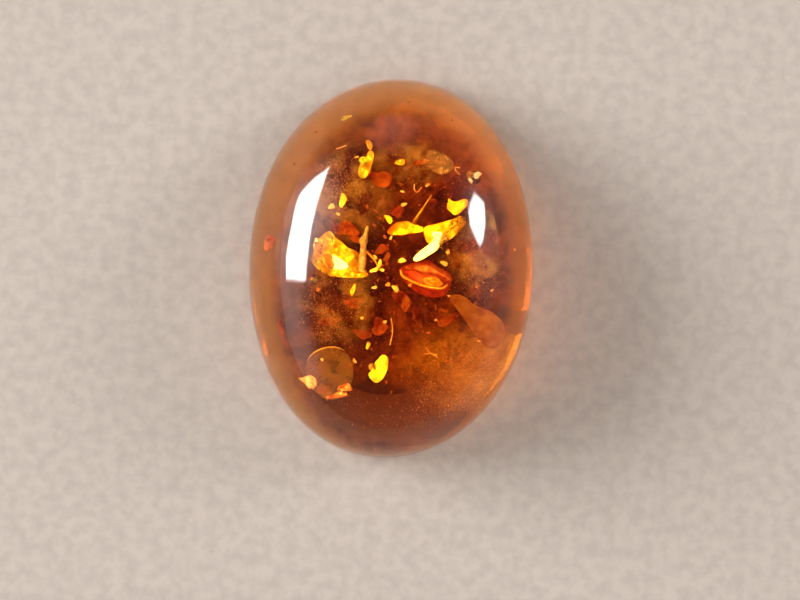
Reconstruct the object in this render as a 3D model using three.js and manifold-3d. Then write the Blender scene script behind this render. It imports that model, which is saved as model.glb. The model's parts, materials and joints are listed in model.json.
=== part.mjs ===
// An oval amber cabochon with fragments sealed in it, lying on its flat back. Millimetres, +Z up.
// The origin is the middle of the flat back and the long axis lies along Y.
// The clear stone is parted level with its inclusions, and each of them lies in a pocket that the
// base and the crown share.
import * as THREE from "three";
import { mergeVertices } from "three/addons/utils/BufferGeometryUtils.js";
import Module from "manifold-3d";

const wasm = await Module();
wasm.setup();

// The stone
const WIDTH = 15;
const LENGTH = 20;
const HEIGHT = 6.9;
const GIRDLE_TOP = 0.7; // where the dome springs from the upright edge
const BEVEL = 0.22; // the ground-off corner round the flat back
const GIRDLE_LEAN = 0.05; // how far the upright edge leans in on its way up
const DOME_FULLNESS = 2.3; // 2 is an ellipsoid, more is flatter on top with a rounder shoulder
const WAVER = 0.008; // unevenness of the hand-ground outline between the four ends of its axes
const WAVER_PEAK = THREE.MathUtils.degToRad(325);
const PARTING = 3; // height of the plane through the inclusions

// Fineness of the faceted surfaces: rings are those between a lens's middle and its rim
const STONE_SEGMENTS = 72;
const DOME_STEPS = 18;
const SAMPLES_PER_CORNER = 2;
const SOLID_FACETS = { rings: 3, sides: 10 };
const POCKET_FACETS = { rings: 2, sides: 7 };
const CLEARANCE = 0.1; // free space between an inclusion and its pocket

const AMBER = 0xb5560a;
const YELLOW = 0xf2b50c;
const GOLD = 0xd99a1a;
const ORANGE = 0xb35a14;
const RED = 0xa83208;
const TAN = 0x9a6a40;

// Point of the dome's profile at the height's share from the girdle, 0, to the apex, 1.
function domePoint(share) {
  const radius = (1 - GIRDLE_LEAN / (WIDTH / 2)) * Math.pow(1 - share * share, 1 / DOME_FULLNESS);
  return new THREE.Vector2(radius, GIRDLE_TOP + (HEIGHT - GIRDLE_TOP) * share);
}

// The dome's profile between two shares of its height, in steps that are even round its curve.
function domeProfile(from, to, steps) {
  const start = Math.asin(from);
  const end = Math.asin(to);
  const points = [];
  for (let i = 0; i <= steps; i++) {
    points.push(domePoint(Math.sin(start + ((end - start) * i) / steps)));
  }
  return points;
}

// Turns a profile of radius shares and heights into a closed oval body.
function ovalBody(profile) {
  const body = new THREE.LatheGeometry(profile, STONE_SEGMENTS).rotateX(Math.PI / 2);
  const place = body.getAttribute("position");
  for (let i = 0; i < place.count; i++) {
    const radius = Math.hypot(place.getX(i), place.getY(i));
    const angle = Math.atan2(place.getY(i), place.getX(i));
    const swell = Math.cos(4 * (angle - WAVER_PEAK)) - Math.cos(4 * WAVER_PEAK);
    const uneven = 1 + WAVER * radius * radius * swell;
    place.setX(i, (place.getX(i) * uneven * WIDTH) / 2);
    place.setY(i, (place.getY(i) * uneven * LENGTH) / 2);
  }
  return body;
}

function solidOf(geometry) {
  const bare = geometry.clone();
  bare.deleteAttribute("normal");
  bare.deleteAttribute("uv");
  const merged = mergeVertices(bare, 1e-4);
  return new wasm.Manifold(
    new wasm.Mesh({
      numProp: 3,
      vertProperties: merged.getAttribute("position").array,
      triVerts: new Uint32Array(merged.index.array),
    }),
  );
}

function geometryOf(solid) {
  const mesh = solid.getMesh();
  const geometry = new THREE.BufferGeometry();
  geometry.setAttribute("position", new THREE.BufferAttribute(mesh.vertProperties, 3));
  geometry.setIndex(new THREE.BufferAttribute(mesh.triVerts, 1));
  const faceted = geometry.toNonIndexed();
  faceted.computeVertexNormals();
  return faceted;
}

// A thin lens. outline holds the corners of its rim as shares of its half length and half width,
// counter-clockwise; bow bends it up towards its two ends.
function flake({ size, outline, bow = 0, at = [0, 0, 0], turn = 0 }, grow, { rings: fineness }) {
  const [length, width, thickness] = size.map((side) => side / 2 + grow);
  const corners = outline.map(([x, y]) => new THREE.Vector3(x, y, 0));
  const around = corners.length * SAMPLES_PER_CORNER;
  const edge = new THREE.CatmullRomCurve3(corners, true, "catmullrom", 0.35);
  const rim = edge.getPoints(around).slice(0, around);
  const ringAt = (share, side) =>
    rim.map((corner) => {
      const x = corner.x * share * length;
      const lift = bow * Math.pow(x / (size[0] / 2), 2);
      return [x, corner.y * share * width, side * thickness * Math.sqrt(1 - share * share) + lift];
    });
  const rings = [];
  for (let i = 1; i < 2 * fineness; i++) {
    const slope = ((i / fineness) * Math.PI) / 2;
    rings.push(ringAt(Math.min(Math.sin(slope), 1), Math.sign(fineness - i)));
  }
  const points = [[0, 0, thickness], ...rings.flat(), [0, 0, -thickness]];
  const last = points.length - 1;
  const bottom = last - around;
  const faces = [];
  for (let j = 0; j < around; j++) {
    const next = (j + 1) % around;
    faces.push(0, 1 + j, 1 + next);
    for (let upper = 1; upper < bottom; upper += around) {
      const lower = upper + around;
      faces.push(upper + j, lower + j, lower + next);
      faces.push(upper + j, lower + next, upper + next);
    }
    faces.push(bottom + j, last, bottom + next);
  }
  const lens = new THREE.BufferGeometry();
  lens.setAttribute("position", new THREE.Float32BufferAttribute(points.flat(), 3));
  lens.setIndex(faces);
  return lens.rotateZ(THREE.MathUtils.degToRad(turn)).translate(...at);
}

// A round stick from one point to another. knots holds pairs of a share of its length and a radius.
function rod({ from, to, knots }, grow, { sides }) {
  const start = new THREE.Vector3(...from);
  const way = new THREE.Vector3(...to).sub(start);
  const length = way.length();
  const profile = [
    new THREE.Vector2(0, -grow),
    ...knots.map(([share, radius]) => {
      const along = share * (length + 2 * grow) - grow;
      return new THREE.Vector2(radius + grow, along);
    }),
    new THREE.Vector2(0, length + grow),
  ];
  const upright = new THREE.Quaternion().setFromUnitVectors(
    new THREE.Vector3(0, 1, 0),
    way.normalize(),
  );
  return new THREE.LatheGeometry(profile, sides).applyQuaternion(upright).translate(...from);
}

// Outlines of the lenses
const OVAL = Array.from({ length: 8 }, (_, i) => {
  const angle = (i * Math.PI) / 4;
  return [Math.cos(angle), Math.sin(angle)];
});
const LEAF = [
  [1, 0], [0.6, 0.75], [0, 1], [-0.65, 0.85], [-1, 0.3], [-0.95, -0.6],
  [-0.15, -1], [0.6, -0.8],
];
const PETAL = [
  [1, -0.1], [0.55, 1], [-0.2, 0.9], [-0.7, 0.45], [-1, -0.75], [-0.25, -1],
  [0.7, -0.9],
];
const BLADE = [
  [1, 0.6], [0.3, 0.6], [-0.3, 0.8], [-0.85, 1], [-1, -0.3], [-0.5, -1],
  [0.1, -0.7], [0.7, -0.2],
];
const CHIP = [
  [1, -0.15], [0.5, 0.45], [0.5, 1], [-0.3, 0.65], [-1, 0.3], [-0.75, -0.35],
  [-0.55, -1], [0.5, -1],
];
const BROAD = [
  [1, 0.1], [0.65, 0.3], [0.35, 1], [-0.1, 0.75], [-0.9, 0.75], [-1, 0],
  [-0.8, -0.45], [-0.3, -1], [0.3, -0.85],
];
const HUSK = [
  [1, -0.5], [0.95, 0.4], [0.75, 1], [-0.25, 0.65], [-0.85, 0.5], [-1, 0.2],
  [-0.85, -0.3], [-0.6, -0.75], [0, -1], [0.7, -0.95],
];
const WEDGE = [
  [1, -0.6], [0.9, 0.3], [0.5, 1], [0.15, 0.55], [-0.4, 0.1], [-0.75, 0.2],
  [-1, 0], [-0.75, -0.35], [-0.4, -0.65], [0, -1], [0.6, -0.95],
];
const PLATE = [
  [1, -0.3], [0.75, 1], [-0.15, 0.95], [-0.7, 0.65], [-1, -0.5], [-0.2, -0.9],
  [0.6, -1],
];

// Every inclusion: where its middle lies, how it is turned about Z and then tilted about X and Y
// in degrees, and the lenses and sticks that it is made of.
const INCLUSIONS = [
  {
    name: "long_sliver",
    color: YELLOW,
    at: [1.45, 1.92, 2.72],
    tilt: [-9, -21],
    flakes: [
      { size: [2, 0.68, 0.16], outline: PETAL, bow: 0.06, at: [-0.92, 0, 0], turn: 7 },
      { size: [2.3, 1.1, 0.16], outline: BLADE, bow: 0.06, at: [0.98, -0.03, 0], turn: 26 },
    ],
    rods: [
      { from: [-0.6, 0.1, 0], to: [0.25, 1.55, 0.1], knots: [[0, 0.07], [0.5, 0.08], [1, 0.05]] },
    ],
  },
  {
    name: "bright_flake",
    color: YELLOW,
    at: [1.72, 0.98, 3.14],
    turn: 226,
    tilt: [-7, -21],
    flakes: [{ size: [2.2, 0.6, 0.14], outline: LEAF }],
  },
  {
    name: "corner_flake",
    color: YELLOW,
    at: [2.78, 3.07, 2.85],
    turn: -25,
    tilt: [-12, -16],
    flakes: [{ size: [1.05, 0.88, 0.14], outline: CHIP }],
  },
  {
    name: "seed_husk",
    color: RED,
    at: [1.49, -0.24, 2.75],
    turn: -15,
    tilt: [-4, -14],
    flakes: [{ size: [2.55, 1.8, 0.7], outline: HUSK }],
    hollow: { size: [1.8, 0.9, 0.55], outline: OVAL, at: [-0.1, -0.12, 0.3] },
  },
  {
    name: "broad_flake",
    color: YELLOW,
    at: [-2.26, 0.27, 2.85],
    turn: -32,
    tilt: [-9, 20],
    flakes: [{ size: [2.95, 1.75, 0.2], outline: BROAD, bow: 0.12 }],
  },
  {
    name: "twig",
    color: TAN,
    at: [-1.27, 0.79, 3.05],
    tilt: [5, 0],
    rods: [
      {
        from: [-0.05, -1.13, 0],
        to: [0.07, 1.13, 0],
        knots: [[0, 0.12], [0.3, 0.14], [0.6, 0.13], [0.68, 0.19], [0.76, 0.12], [1, 0.07]],
      },
    ],
  },
  {
    name: "upper_left_flake",
    color: YELLOW,
    at: [-1.42, 4.8, 3.05],
    turn: 81,
    tilt: [-16, 19],
    flakes: [
      { size: [1.65, 0.76, 0.16], outline: LEAF, bow: 0.06 },
      { size: [0.5, 0.36, 0.14], outline: OVAL, at: [0.95, 0.03, 0.05] },
    ],
  },
  {
    name: "leaf_flake",
    color: YELLOW,
    at: [-0.27, -4.74, 3],
    turn: 65,
    tilt: [4, -26],
    flakes: [{ size: [1.6, 0.8, 0.14], outline: LEAF, bow: 0.06 }],
  },
  {
    name: "lower_disc",
    color: ORANGE,
    at: [-2.52, -5.11, 2.95],
    turn: 56,
    tilt: [-14, -16],
    flakes: [{ size: [2.5, 2.25, 0.14], outline: OVAL, bow: 0.12 }],
  },
  {
    name: "upper_disc",
    color: GOLD,
    at: [1.92, 4.97, 3],
    turn: -13,
    tilt: [-12, -12],
    flakes: [{ size: [1.7, 1.2, 0.14], outline: PLATE, bow: 0.08 }],
  },
  {
    name: "brown_shard",
    color: ORANGE,
    at: [4.1, -2.19, 2.95],
    turn: -40,
    tilt: [-10, 16],
    flakes: [{ size: [3.3, 1.6, 0.26], outline: WEDGE, bow: 0.06 }],
  },
];

// The union of an inclusion's lenses and sticks, larger all over by grow.
function bodyOf({ flakes = [], rods = [] }, grow, facets) {
  const parts = [
    ...flakes.map((one) => solidOf(flake(one, grow, facets))),
    ...rods.map((one) => solidOf(rod(one, grow, facets))),
  ];
  return parts.reduce((whole, part) => whole.add(part));
}

function inclusionMesh(inclusion) {
  let body = bodyOf(inclusion, 0, SOLID_FACETS);
  if (inclusion.hollow) {
    body = body.subtract(solidOf(flake(inclusion.hollow, 0, SOLID_FACETS)));
  }
  const material = new THREE.MeshStandardMaterial({
    color: inclusion.color,
    roughness: 0.35,
    metalness: 0,
  });
  const mesh = new THREE.Mesh(geometryOf(body), material);
  mesh.name = inclusion.name;
  mesh.position.set(...inclusion.at);
  const [aboutX, aboutY] = inclusion.tilt.map(THREE.MathUtils.degToRad);
  mesh.rotation.set(aboutX, aboutY, THREE.MathUtils.degToRad(inclusion.turn ?? 0));
  mesh.updateMatrix();
  return mesh;
}

function stoneMesh(name, profile, pockets) {
  const body = pockets.reduce((left, pocket) => left.subtract(pocket), solidOf(ovalBody(profile)));
  const material = new THREE.MeshStandardMaterial({
    color: AMBER,
    roughness: 0.05,
    metalness: 0,
    transparent: true,
    opacity: 0.6,
  });
  const mesh = new THREE.Mesh(geometryOf(body), material);
  mesh.name = name;
  return mesh;
}

const stone = new THREE.Group();

const inclusionMeshes = INCLUSIONS.map(inclusionMesh);
const pockets = INCLUSIONS.map((inclusion, i) => {
  const pocket = geometryOf(bodyOf(inclusion, CLEARANCE, POCKET_FACETS));
  return solidOf(pocket.applyMatrix4(inclusionMeshes[i].matrix));
});

const partingShare = (PARTING - GIRDLE_TOP) / (HEIGHT - GIRDLE_TOP);
const baseSteps = Math.round((DOME_STEPS * Math.asin(partingShare)) / (Math.PI / 2));
const baseProfile = [
  new THREE.Vector2(0, 0),
  new THREE.Vector2(1 - BEVEL / (WIDTH / 2), 0),
  new THREE.Vector2(1, BEVEL),
  ...domeProfile(0, partingShare, baseSteps),
  new THREE.Vector2(0, PARTING),
];
const crownProfile = [
  new THREE.Vector2(0, PARTING),
  ...domeProfile(partingShare, 1, DOME_STEPS - baseSteps),
];
crownProfile[crownProfile.length - 1].x = 0;

stone.add(stoneMesh("amber_base", baseProfile, pockets));
stone.add(stoneMesh("amber_crown", crownProfile, pockets));
stone.add(...inclusionMeshes);

export default stone;
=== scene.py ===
import json
import math

import bmesh
import bpy
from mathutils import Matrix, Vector

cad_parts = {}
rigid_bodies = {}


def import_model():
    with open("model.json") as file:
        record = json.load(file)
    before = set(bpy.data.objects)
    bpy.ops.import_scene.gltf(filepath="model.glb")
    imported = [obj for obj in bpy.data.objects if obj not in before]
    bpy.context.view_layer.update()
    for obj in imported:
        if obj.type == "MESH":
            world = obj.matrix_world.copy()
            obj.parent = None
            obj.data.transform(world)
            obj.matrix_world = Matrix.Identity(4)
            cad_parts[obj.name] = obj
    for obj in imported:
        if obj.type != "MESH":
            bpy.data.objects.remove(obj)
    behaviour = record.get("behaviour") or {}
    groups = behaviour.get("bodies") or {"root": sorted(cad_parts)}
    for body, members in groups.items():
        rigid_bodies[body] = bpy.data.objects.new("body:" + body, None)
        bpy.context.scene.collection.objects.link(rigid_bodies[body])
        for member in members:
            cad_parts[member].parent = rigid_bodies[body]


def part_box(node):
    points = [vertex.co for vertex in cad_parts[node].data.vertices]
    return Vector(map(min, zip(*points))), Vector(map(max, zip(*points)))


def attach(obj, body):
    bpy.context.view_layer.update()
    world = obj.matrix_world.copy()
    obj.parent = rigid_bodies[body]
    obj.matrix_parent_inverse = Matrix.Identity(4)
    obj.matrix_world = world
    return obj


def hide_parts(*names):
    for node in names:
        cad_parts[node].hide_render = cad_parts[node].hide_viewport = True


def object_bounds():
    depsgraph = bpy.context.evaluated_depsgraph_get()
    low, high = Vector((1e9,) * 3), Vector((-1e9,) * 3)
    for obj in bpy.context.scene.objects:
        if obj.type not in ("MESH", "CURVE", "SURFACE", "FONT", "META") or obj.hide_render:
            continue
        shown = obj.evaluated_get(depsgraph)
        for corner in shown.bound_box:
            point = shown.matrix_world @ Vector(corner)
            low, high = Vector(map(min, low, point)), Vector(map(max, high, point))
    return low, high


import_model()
cad_low, cad_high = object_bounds()
MM = 0.001

# The clear amber
# One piece of fossil resin, ground to an oval with a flat back, a thin upright edge and a high dome,
# then polished by hand, which leaves its skin a little wavy. Built as a ring at the back that is
# drawn up and in, step by step, and closed at the top.
AMBER_AROUND = 216
AMBER_STEPS = 84
EDGE_TOP = 0.7 * MM
BACK_BEVEL = 0.22 * MM
EDGE_LEAN = 0.05 * MM
DOME_FULLNESS = 2.3
WAVER = 0.008
WAVER_PEAK = math.radians(325)
SKIN_WAVE = 0.014 * MM
SKIN_WAVE_LENGTH = 1.6 * MM
AMBER_TINT = (1.0, 0.9, 0.72, 1.0)
AMBER_IOR = 1.54
AMBER_COLOUR = (0.99, 0.76, 0.14, 1.0)
AMBER_DENSITY = 430.0
POLISH_HAZE = (0.02, 0.17)


def start_piece():
    """Leaves edit mode and deselects everything, so that an operator acts on the new piece alone."""
    if bpy.context.object and bpy.context.object.mode == "EDIT":
        bpy.ops.object.mode_set(mode="OBJECT")
    bpy.ops.object.select_all(action="DESELECT")


def crumple(piece, depth, length, kind="CLOUDS", group=""):
    """Pushes a piece's surface in and out by a soft random relief, and applies it."""
    relief = bpy.data.textures.new(piece.name + "_relief", kind)
    relief.noise_scale = length
    change = piece.modifiers.new("relief", "DISPLACE")
    change.texture = relief
    change.strength = depth
    change.mid_level = 0.5
    change.vertex_group = group
    bpy.ops.object.modifier_apply(modifier=change.name)


half_width, half_length = cad_high.x, cad_high.y
amber_top = cad_high.z

start_piece()
bpy.ops.mesh.primitive_circle_add(vertices=AMBER_AROUND, radius=1 - BACK_BEVEL / half_width, fill_type="NGON")
amber = bpy.context.object
amber.name = "amber"
rings = [(1.0, BACK_BEVEL)]
for i in range(AMBER_STEPS):
    share = math.sin(math.pi / 2 * i / AMBER_STEPS)
    radius = (1 - EDGE_LEAN / half_width) * (1 - share ** 2) ** (1 / DOME_FULLNESS)
    rings.append((radius, EDGE_TOP + (amber_top - EDGE_TOP) * share))
bpy.ops.object.mode_set(mode="EDIT")
bpy.ops.mesh.select_all(action="SELECT")
radius_now, height_now = 1 - BACK_BEVEL / half_width, 0.0
for radius, height in rings:
    bpy.ops.mesh.extrude_edges_move(TRANSFORM_OT_translate={"value": (0, 0, 0)})
    bpy.ops.transform.translate(value=(0, 0, height - height_now))
    factor = radius / radius_now
    bpy.ops.transform.resize(value=(factor, factor, 1), center_override=(0, 0, height))
    radius_now, height_now = radius, height
bpy.ops.mesh.extrude_edges_move(TRANSFORM_OT_translate={"value": (0, 0, amber_top - height_now)})
bpy.ops.mesh.merge(type="CENTER")
bpy.ops.mesh.select_all(action="SELECT")
bpy.ops.transform.resize(value=(half_width, half_length, 1), center_override=(0, 0, 0))
bpy.ops.mesh.normals_make_consistent(inside=False)
bpy.ops.object.mode_set(mode="OBJECT")
dome = amber.vertex_groups.new(name="dome")
for corner in amber.data.vertices:
    angle = math.atan2(corner.co.y / half_length, corner.co.x / half_width)
    reach = math.hypot(corner.co.x / half_width, corner.co.y / half_length)
    swell = WAVER * reach ** 2 * (math.cos(4 * (angle - WAVER_PEAK)) - math.cos(4 * WAVER_PEAK))
    corner.co.x *= 1 + swell
    corner.co.y *= 1 + swell
    if corner.co.z > EDGE_TOP:
        dome.add([corner.index], 1.0, "REPLACE")
crumple(amber, SKIN_WAVE, SKIN_WAVE_LENGTH, group="dome")
bpy.ops.object.shade_smooth_by_angle(angle=math.radians(35))

clear_amber = bpy.data.materials.new("polished_amber")
clear_amber.use_nodes = True
nodes, links = clear_amber.node_tree.nodes, clear_amber.node_tree.links
skin = nodes["Principled BSDF"]
skin.inputs["Base Color"].default_value = AMBER_TINT
skin.inputs["Roughness"].default_value = 0.0
skin.inputs["IOR"].default_value = AMBER_IOR
skin.inputs["Transmission Weight"].default_value = 1.0
skin.inputs["Coat Roughness"].default_value = 0.3
skin.inputs["Coat IOR"].default_value = AMBER_IOR
where = nodes.new("ShaderNodeTexCoord")
rubbing = nodes.new("ShaderNodeTexNoise")
rubbing.inputs["Scale"].default_value = 1 / SKIN_WAVE_LENGTH
rubbing.inputs["Detail"].default_value = 6
links.new(where.outputs["Object"], rubbing.inputs["Vector"])
haze = nodes.new("ShaderNodeMapRange")
haze.inputs["From Min"].default_value = 0.4
haze.inputs["From Max"].default_value = 0.6
haze.inputs["To Min"].default_value = POLISH_HAZE[0]
haze.inputs["To Max"].default_value = POLISH_HAZE[1]
links.new(rubbing.outputs["Fac"], haze.inputs["Value"])
links.new(haze.outputs["Result"], skin.inputs["Coat Weight"])
absorption = nodes.new("ShaderNodeVolumeAbsorption")
absorption.inputs["Color"].default_value = AMBER_COLOUR
absorption.inputs["Density"].default_value = AMBER_DENSITY
links.new(absorption.outputs["Volume"], nodes["Material Output"].inputs["Volume"])
amber.data.materials.append(clear_amber)
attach(amber, "root")
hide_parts("amber_base", "amber_crown")

# The camera
# It looks straight down on the stone from where the photograph was taken, and shows as much of the
# table round it. seen_in_amber follows a line of sight through a pixel into the stone.
PHOTO_SIZE = (800, 600)
FILM_TURN = math.radians(3.09)
EYE = Vector((0.563 * MM, -1.637 * MM, 100 * MM))
VIEW_WIDTH = 42.4 * MM
SENSOR = 36

lens = bpy.data.cameras.new("camera")
camera = bpy.data.objects.new("camera", lens)
bpy.context.scene.collection.objects.link(camera)
camera.location = EYE
camera.rotation_euler = (0, 0, FILM_TURN)
lens.sensor_width = SENSOR
lens.lens = SENSOR * EYE.z / VIEW_WIDTH
lens.clip_start = 0.001
bpy.context.scene.camera = camera
bpy.context.view_layer.update()


def sight_line(pixel):
    """Where the line of sight through a pixel enters the amber, and the way it takes inside."""
    scale = VIEW_WIDTH / PHOTO_SIZE[0]
    right = (pixel[0] - PHOTO_SIZE[0] / 2) * scale
    up = (PHOTO_SIZE[1] / 2 - pixel[1]) * scale
    way = Vector((right, up, -EYE.z))
    way.rotate(camera.rotation_euler)
    way.normalize()
    hit, entry, normal, face = amber.ray_cast(EYE, way)
    cosine = -way.dot(normal)
    bend = 1 / AMBER_IOR
    inner = bend * way + (bend * cosine - math.sqrt(1 - bend ** 2 * (1 - cosine ** 2))) * normal
    return entry, inner


def seen_in_amber(pixel, height):
    """The point at a height in the stone that is seen at a pixel."""
    entry, way = sight_line(pixel)
    return entry + way * ((height - entry.z) / way.z)


# The golden flakes
# Thin leaves of resin skin and plant that came loose from the amber round them, so that air got
# between and they mirror the windows like crumpled gold leaf. Each is a flat disc dragged out to the
# corners that the photograph shows, inset, smoothed, crumpled and given its thickness.
FLAKE_THICKNESS = 0.05 * MM
FLAKE_CRUMPLE = 0.05 * MM
FLAKE_CRUMPLE_LENGTH = 0.6 * MM
FLAKE_YELLOW = (0.56, 0.38, 0.02, 1)
FLAKE_ORANGE = (0.4, 0.22, 0.012, 1)


def leaning(lean, towards):
    """The way that a flat thing faces when it leans over by some degrees towards a compass angle."""
    tilt, turn = math.radians(lean), math.radians(towards)
    return Vector((math.sin(tilt) * math.cos(turn), math.sin(tilt) * math.sin(turn), math.cos(tilt)))


def middle_of(node):
    low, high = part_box(node)
    return (low + high) / 2


def place(piece, middle, facing):
    """Turns a flat piece to face a way, moves it to its place, and puts that place in its mesh."""
    piece.rotation_mode = "QUATERNION"
    piece.rotation_quaternion = Vector((0, 0, 1)).rotation_difference(facing)
    piece.location = middle
    bpy.ops.object.transform_apply(location=True, rotation=True, scale=True)


def cut_leaf(name, outline, middle, facing):
    """A flat leaf in the stone whose rim is seen at the given pixels, with two rings inside it."""
    turn = Vector((0, 0, 1)).rotation_difference(facing)
    corners = []
    for pixel in outline:
        entry, way = sight_line(pixel)
        spot = entry + way * ((middle - entry).dot(facing) / way.dot(facing))
        corners.append(turn.inverted() @ (spot - middle))
    centre = sum(corners, Vector()) / len(corners)
    start_piece()
    bpy.ops.mesh.primitive_circle_add(vertices=len(corners), radius=centre.length + 0.1 * MM, fill_type="NGON")
    leaf = bpy.context.object
    leaf.name = name
    bpy.ops.object.mode_set(mode="EDIT")
    shape = bmesh.from_edit_mesh(leaf.data)
    round_rim = sorted(shape.verts, key=lambda vertex: -math.atan2(vertex.co.y, vertex.co.x))
    for vertex, corner in zip(round_rim, corners):
        bpy.ops.mesh.select_all(action="DESELECT")
        vertex.select = True
        bpy.ops.transform.translate(value=corner - vertex.co)
    bpy.ops.mesh.select_all(action="SELECT")
    bpy.ops.transform.edge_crease(value=0.35)
    sheet = shape.faces[:][0]
    ring = 0.4 * sheet.calc_area() / sheet.calc_perimeter()
    bpy.ops.mesh.inset(thickness=ring, depth=0)
    bpy.ops.mesh.inset(thickness=ring, depth=0)
    bpy.ops.mesh.select_all(action="SELECT")
    bpy.ops.mesh.normals_make_consistent(inside=False)
    bpy.ops.object.mode_set(mode="OBJECT")
    place(leaf, middle, facing)
    return leaf


def smooth(piece, levels):
    rounding = piece.modifiers.new("rounding", "SUBSURF")
    rounding.levels = levels
    rounding.render_levels = levels
    bpy.ops.object.modifier_apply(modifier=rounding.name)


def thicken(piece, thickness):
    wall = piece.modifiers.new("wall", "SOLIDIFY")
    wall.thickness = thickness
    wall.offset = 0
    bpy.ops.object.modifier_apply(modifier=wall.name)


def finish_piece(piece, material, slot, *replaced):
    """Gives a piece its material and says what it rides on and replaces; slot is not used."""
    piece.data.materials.clear()
    piece.data.materials.append(material)
    bpy.ops.object.shade_smooth_by_angle(angle=math.radians(50))
    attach(piece, "root")
    if replaced:
        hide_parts(*replaced)


def grainy_material(name, dark, light, grain, metallic, roughness, bump=0.0):
    """A material whose colour and gloss wander between two values over patches of the grain's size."""
    material = bpy.data.materials.new(name)
    material.use_nodes = True
    nodes, links = material.node_tree.nodes, material.node_tree.links
    skin = nodes["Principled BSDF"]
    skin.inputs["Metallic"].default_value = metallic
    where = nodes.new("ShaderNodeTexCoord")
    patches = nodes.new("ShaderNodeTexNoise")
    patches.inputs["Scale"].default_value = 1 / grain
    patches.inputs["Detail"].default_value = 4
    links.new(where.outputs["Object"], patches.inputs["Vector"])
    tint = nodes.new("ShaderNodeValToRGB")
    tint.color_ramp.elements[0].position = 0.35
    tint.color_ramp.elements[0].color = dark
    tint.color_ramp.elements[1].position = 0.62
    tint.color_ramp.elements[1].color = light
    links.new(patches.outputs["Fac"], tint.inputs["Fac"])
    links.new(tint.outputs["Color"], skin.inputs["Base Color"])
    gloss = nodes.new("ShaderNodeMapRange")
    gloss.inputs["From Min"].default_value = 0.35
    gloss.inputs["From Max"].default_value = 0.65
    gloss.inputs["To Min"].default_value = roughness[1]
    gloss.inputs["To Max"].default_value = roughness[0]
    links.new(patches.outputs["Fac"], gloss.inputs["Value"])
    links.new(gloss.outputs["Result"], skin.inputs["Roughness"])
    if bump:
        creases = nodes.new("ShaderNodeTexNoise")
        creases.inputs["Scale"].default_value = 6 / grain
        creases.inputs["Detail"].default_value = 3
        links.new(where.outputs["Object"], creases.inputs["Vector"])
        relief = nodes.new("ShaderNodeBump")
        relief.inputs["Strength"].default_value = 0.5
        relief.inputs["Distance"].default_value = bump
        links.new(creases.outputs["Fac"], relief.inputs["Height"])
        links.new(relief.outputs["Normal"], skin.inputs["Normal"])
    return material


def golden_flake(name, outline, facing, node=None, middle=None, depth=FLAKE_CRUMPLE):
    """A golden flake with the given outline, in its node's place or round a point."""
    leaf = cut_leaf(name, outline, middle or middle_of(node), facing)
    smooth(leaf, 3)
    crumple(leaf, depth, FLAKE_CRUMPLE_LENGTH)
    thicken(leaf, FLAKE_THICKNESS)
    return leaf


WHITE_LEAF = (1.0, 1.0, 1.0, 1)
gold_leaf = grainy_material("gold_leaf", FLAKE_ORANGE, FLAKE_YELLOW, 0.4 * MM, 0.85, (0.2, 0.45), 0.005 * MM)
bright_leaf = grainy_material("bright_leaf", (1.0, 0.95, 0.7, 1), WHITE_LEAF, 0.6 * MM, 1.0, (0.03, 0.07))
broad_leaf = grainy_material(
    "broad_leaf", (0.6, 0.38, 0.02, 1), (0.95, 0.76, 0.05, 1), 0.25 * MM, 0.85, (0.22, 0.4), 0.006 * MM
)


def join_pieces(*pieces):
    """Joins pieces into the first one."""
    start_piece()
    for piece in pieces:
        piece.select_set(True)
    bpy.context.view_layer.objects.active = pieces[0]
    bpy.ops.object.join()
    return pieces[0]


def strand(name, route, thickness):
    """A thin thread along pixels with heights; thickness gives its width at each point."""
    start_piece()
    bpy.ops.curve.primitive_nurbs_path_add()
    thread = bpy.context.object
    thread.name = name
    line = thread.data
    line.splines.clear()
    spline = line.splines.new("BEZIER")
    spline.bezier_points.add(len(route) - 1)
    for point, stop, width in zip(spline.bezier_points, route, thickness):
        point.co = seen_in_amber(stop[:2], stop[2])
        point.handle_left_type = "AUTO"
        point.handle_right_type = "AUTO"
        point.radius = width / 2
    line.dimensions = "3D"
    line.bevel_depth = 1
    line.bevel_resolution = 3
    line.resolution_u = 8
    line.use_fill_caps = True
    bpy.ops.object.convert(target="MESH")
    return bpy.context.object


# The long sliver: two narrow lobes and a thin stalk that rises from their joint
SLIVER_FACING = leaning(22.8, 158)
SLIVER_LEFT = [
    (386, 234.5), (389, 229), (393, 224.5), (399, 222), (404, 221.5), (408, 221), (412, 224.5), (418, 225.5),
    (424, 227), (424, 232), (416, 232.5), (409, 233.5), (402, 235.5), (396, 235),
]
SLIVER_RIGHT = [
    (422.5, 227), (434, 224.5), (444, 222), (456, 218.5), (460, 215.5), (464, 216.5), (467, 220.5),
    (464, 227), (459, 231), (454, 237), (448, 241), (441, 244), (433, 246), (426, 242), (424, 234),
]
SLIVER_STALK = [(413.5, 223, 2.85 * MM), (416, 219, 2.95 * MM), (424, 207, 3.05 * MM), (431.5, 195.5, 3.1 * MM)]
SLIVER_STALK_WIDTHS = [0.2 * MM, 0.17 * MM, 0.11 * MM, 0.07 * MM]

sliver_middle = middle_of("long_sliver") - Vector((0, 0, 0.05 * MM))
left_lobe = golden_flake("long_sliver", SLIVER_LEFT, SLIVER_FACING, middle=sliver_middle)
right_lobe = golden_flake("sliver_lobe", SLIVER_RIGHT, SLIVER_FACING, middle=sliver_middle)
stalk = strand("sliver_stalk", SLIVER_STALK, SLIVER_STALK_WIDTHS)
long_sliver = join_pieces(left_lobe, right_lobe, stalk)
finish_piece(long_sliver, gold_leaf, "golden_flake", "long_sliver")

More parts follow.
